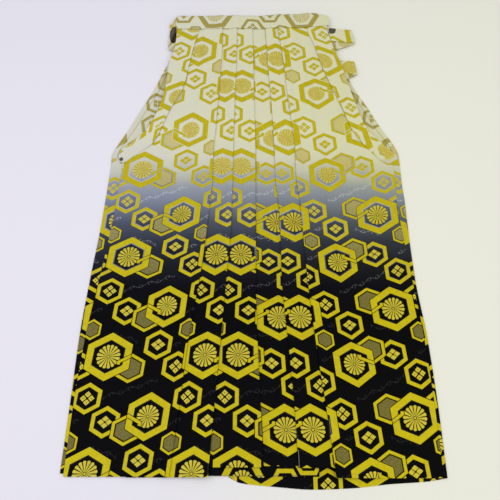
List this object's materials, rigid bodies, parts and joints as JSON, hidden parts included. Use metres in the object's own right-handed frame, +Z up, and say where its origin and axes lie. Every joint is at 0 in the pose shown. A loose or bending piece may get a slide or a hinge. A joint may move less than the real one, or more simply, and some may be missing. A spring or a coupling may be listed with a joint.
{
  "type": "hakama trousers",
  "caption": "Pleated, divided hakama trousers in patterned brocade, laid flat with the front up, waistband and ties folded behind.",
  "frame": {"origin": "middle of the garment's box, on the surface that it lies on", "axes": "+X to the right of the front as laid, +Y from the hem to the waistband, +Z up out of the front"},
  "size_m": [0.6172, 0.9628, 0.0148],
  "materials": {
    "brocade": "jacquard weave, gold hexagons on a ground shaded from ivory to black",
    "band_brocade": "jacquard weave, dull gold hexagons on ivory, turned a quarter"
  },
  "bodies": {
    "root": {"front_panel_left": "brocade", "front_panel_right": "brocade", "side_leaf_left": "brocade", "side_leaf_right": "brocade", "back_panel_left": "brocade", "back_panel_right": "brocade", "crotch_gore": "brocade", "waistband": "band_brocade", "front_tie_left": "band_brocade", "front_tie_right": "band_brocade", "back_board": "band_brocade", "back_tie_left": "band_brocade", "back_tie_right": "band_brocade"}
  },
  "joints": []
}
